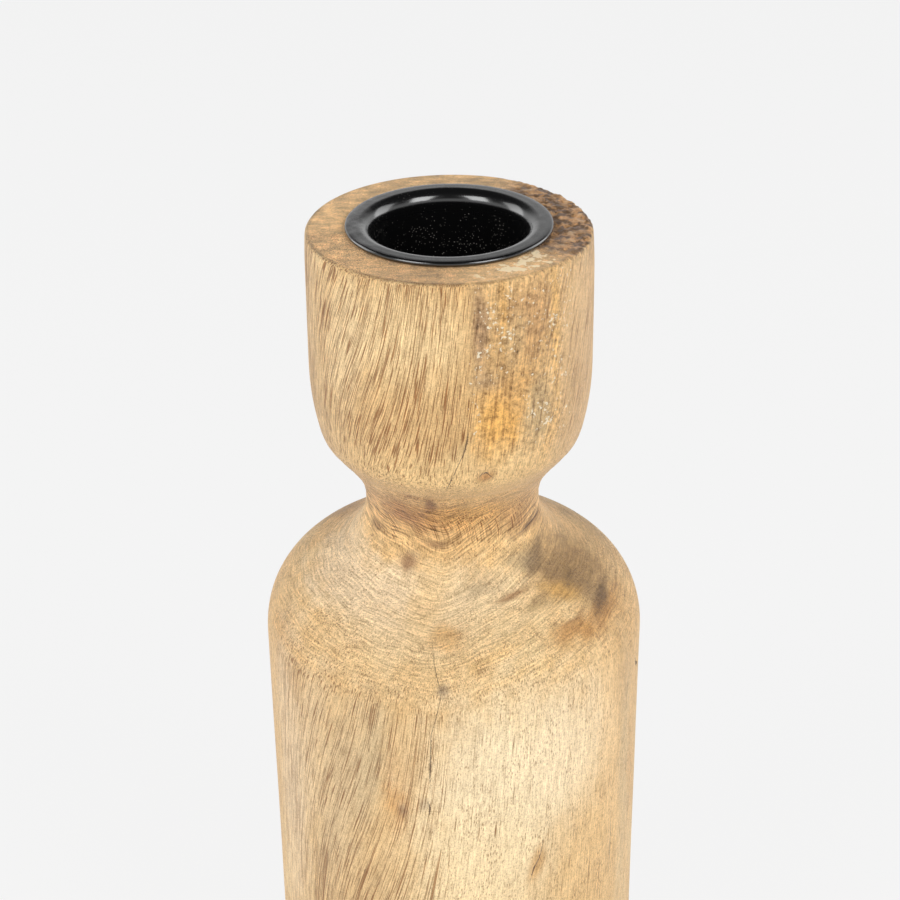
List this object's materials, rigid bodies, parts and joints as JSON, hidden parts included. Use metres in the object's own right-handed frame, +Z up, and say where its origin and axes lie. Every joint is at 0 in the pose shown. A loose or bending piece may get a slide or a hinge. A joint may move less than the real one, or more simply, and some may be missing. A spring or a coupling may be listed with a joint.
{
  "type": "wooden candlestick",
  "caption": "Turned solid-wood candlestick with a waisted neck and a lift-out flanged metal cup that holds one dinner candle.",
  "frame": {"origin": "centre of the underside, on the surface that the candlestick stands on", "axes": "+Z up along the turning axis; +Y is away from the side with the drying shake, and +X is to the right as that side is faced"},
  "size_m": [0.0586, 0.0586, 0.15],
  "materials": {
    "raw_wood": "raw, matt, open-grained hardwood with dark pores, streaks and drying cracks",
    "black_satin_steel": "satin black paint on drawn steel",
    "base_felt": "dark pressed felt"
  },
  "bodies": {
    "stick": {"turned_body": "raw_wood", "felt_pad": "base_felt"},
    "cup": {"candle_cup": "black_satin_steel"}
  },
  "joints": [
    {"name": "cup_lift", "type": "slide", "parent": "stick", "child": "cup", "axis": [0, 0, 1], "range_m": [0, 0.03]}
  ]
}
